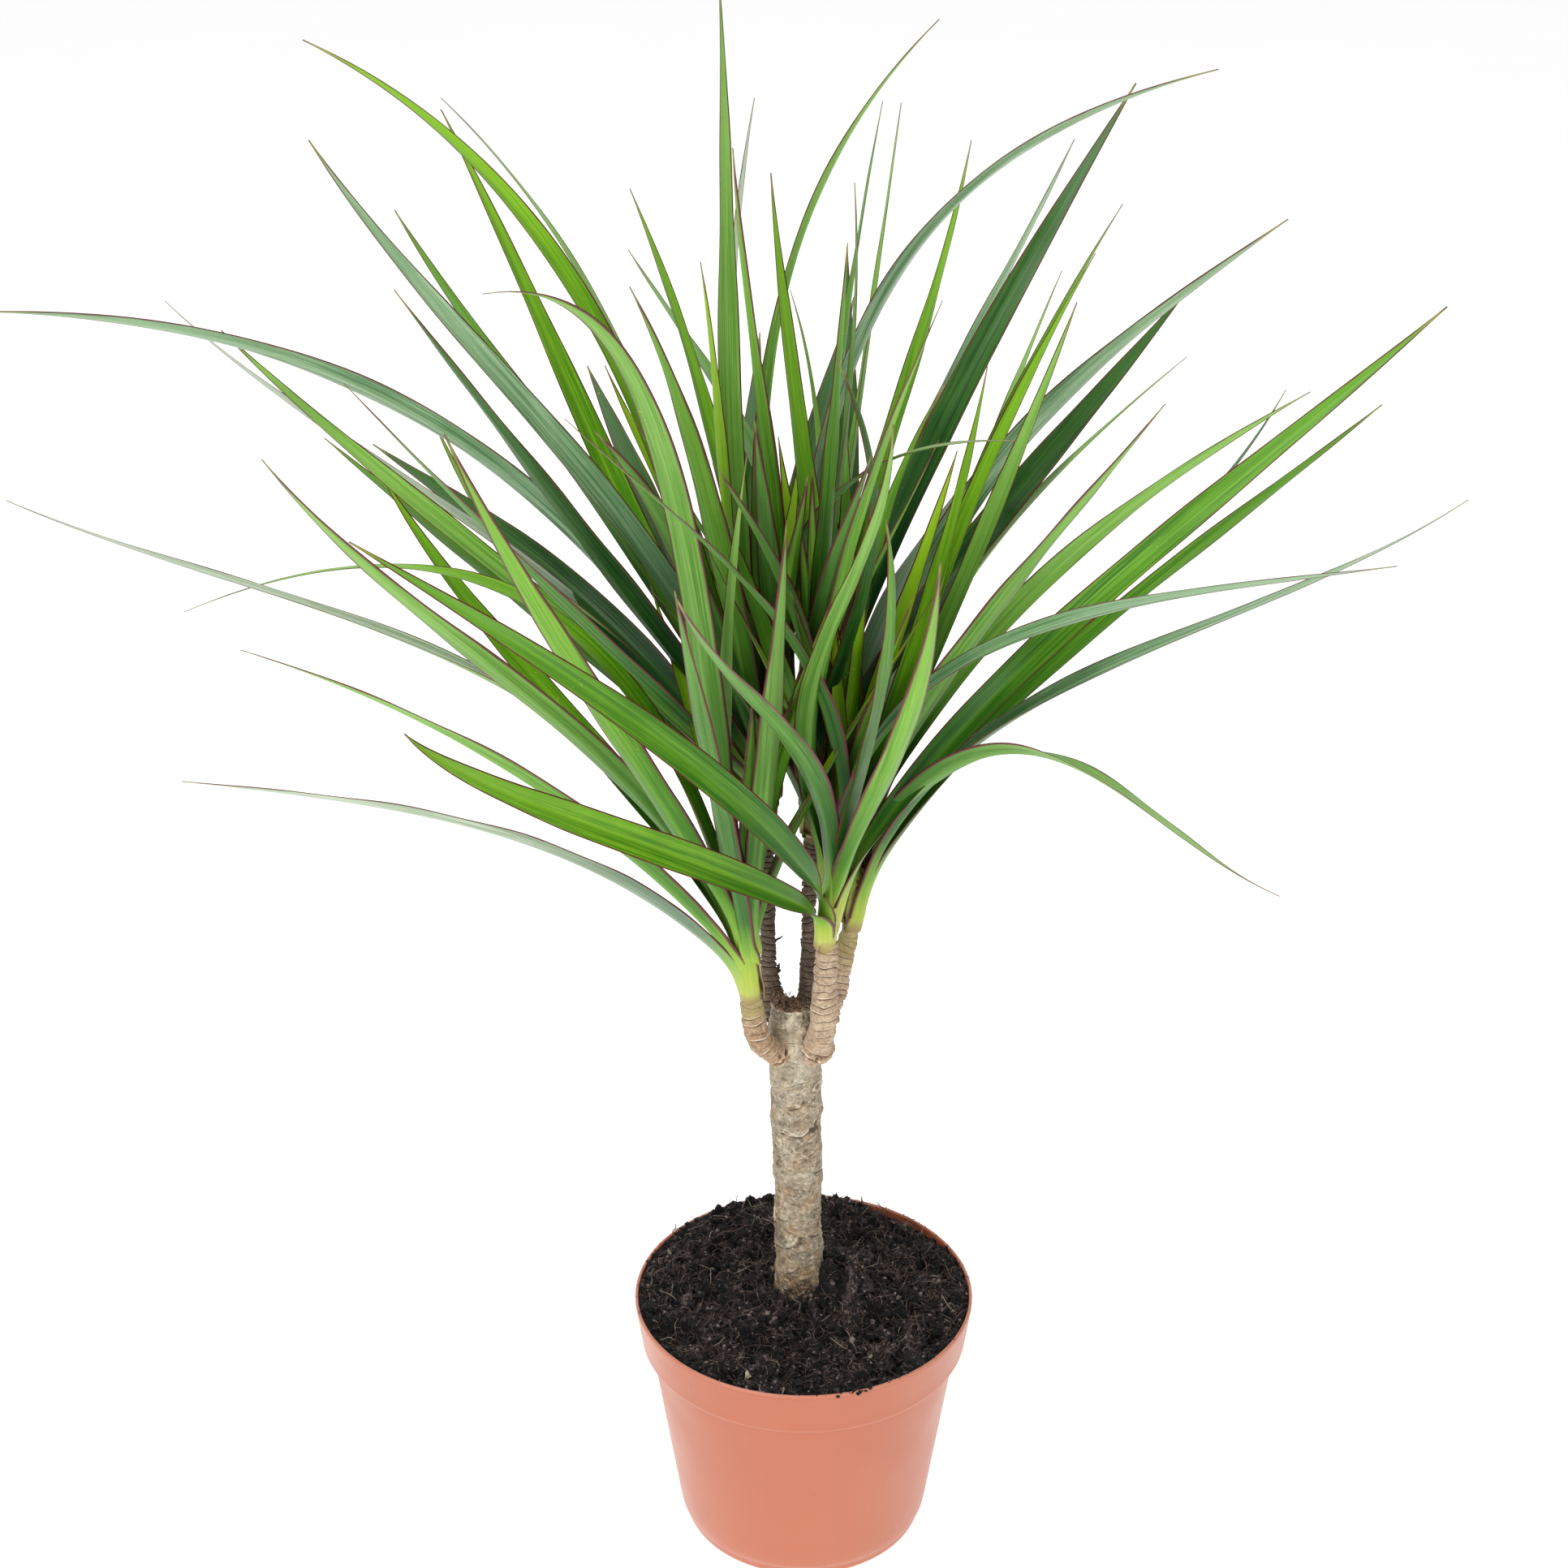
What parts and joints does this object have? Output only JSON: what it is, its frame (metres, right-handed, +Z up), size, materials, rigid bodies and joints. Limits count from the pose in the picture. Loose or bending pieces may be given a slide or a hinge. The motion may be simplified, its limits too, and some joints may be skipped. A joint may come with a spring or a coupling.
{
  "type": "potted madagascar dragon tree",
  "caption": "Potted Madagascar dragon tree: a cut-back trunk with ringed side stems, each with a head of long narrow leaves, growing in a round plastic pot of soil.",
  "frame": {"origin": "centre of the pot's flat underside", "axes": "+Z up the trunk, +X to the right and -Y towards the viewer of the picture"},
  "size_m": [0.6334, 0.6034, 0.7742],
  "materials": {
    "pot": "satin terracotta-coloured moulded plastic",
    "soil": "moist dark peat potting soil with brown fibres",
    "trunk_bark": "grey-beige bark with tan leaf scars",
    "stem_bark": "tan-brown bark with close rings",
    "leaves": "glossy green strap leaves with thin purple-red margins"
  },
  "bodies": {
    "root": {"pot": "pot", "soil": "soil", "trunk": "trunk_bark", "stem_front_left": "stem_bark", "stem_front_right": "stem_bark", "stem_right": "stem_bark", "stem_back_left": "stem_bark", "stem_back_right": "stem_bark", "leaves_front_left": "leaves", "leaves_front_right": "leaves", "leaves_right": "leaves", "leaves_back_left": "leaves", "leaves_back_right": "leaves"}
  },
  "joints": []
}
